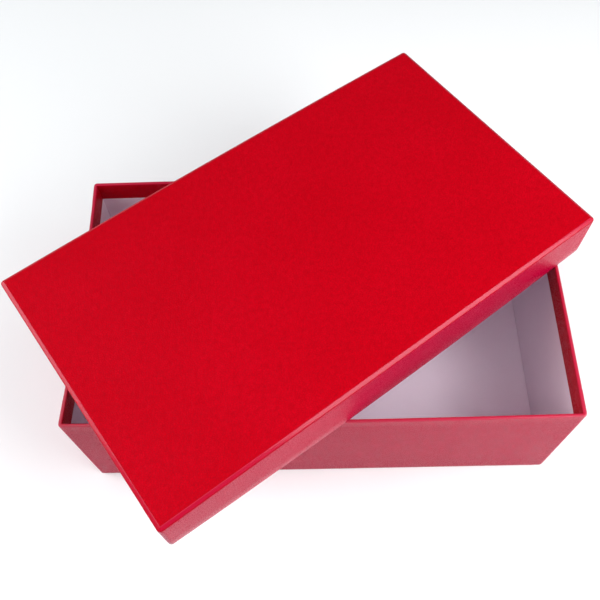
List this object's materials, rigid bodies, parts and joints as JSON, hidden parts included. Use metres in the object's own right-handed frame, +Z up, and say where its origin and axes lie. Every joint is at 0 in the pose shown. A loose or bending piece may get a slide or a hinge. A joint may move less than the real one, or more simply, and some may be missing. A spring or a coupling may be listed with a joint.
{
  "type": "gift box",
  "caption": "Rectangular rigid paperboard gift box in red grained paper with a white lining, its shallow lift-off lid resting turned across the open base.",
  "frame": {"origin": "centre of the base's underside, where the box stands", "axes": "+X along the base's long side to the right, +Y away from the front wall, +Z up"},
  "size_m": [0.349, 0.3196, 0.1338],
  "materials": {
    "cover_paper": "satin leather grain",
    "greyboard": "matte",
    "stay_paper": "matte",
    "lining_paper": "matte"
  },
  "bodies": {
    "base": {"base_board": "greyboard", "base_corner_stay_front_left": "stay_paper", "base_corner_stay_front_right": "stay_paper", "base_corner_stay_back_left": "stay_paper", "base_corner_stay_back_right": "stay_paper", "base_wrap": "cover_paper", "base_wall_liner": "lining_paper", "base_floor_liner": "lining_paper"},
    "lid": {"lid_board": "greyboard", "lid_corner_stay_front_left": "stay_paper", "lid_corner_stay_front_right": "stay_paper", "lid_corner_stay_back_left": "stay_paper", "lid_corner_stay_back_right": "stay_paper", "lid_wrap": "cover_paper", "lid_wall_liner": "lining_paper", "lid_top_liner": "lining_paper"}
  },
  "joints": [
    {"name": "lid_lift", "type": "slide", "parent": "base", "child": "lid", "axis": [0, 0, 1], "range_m": [0, 0.15]}
  ]
}
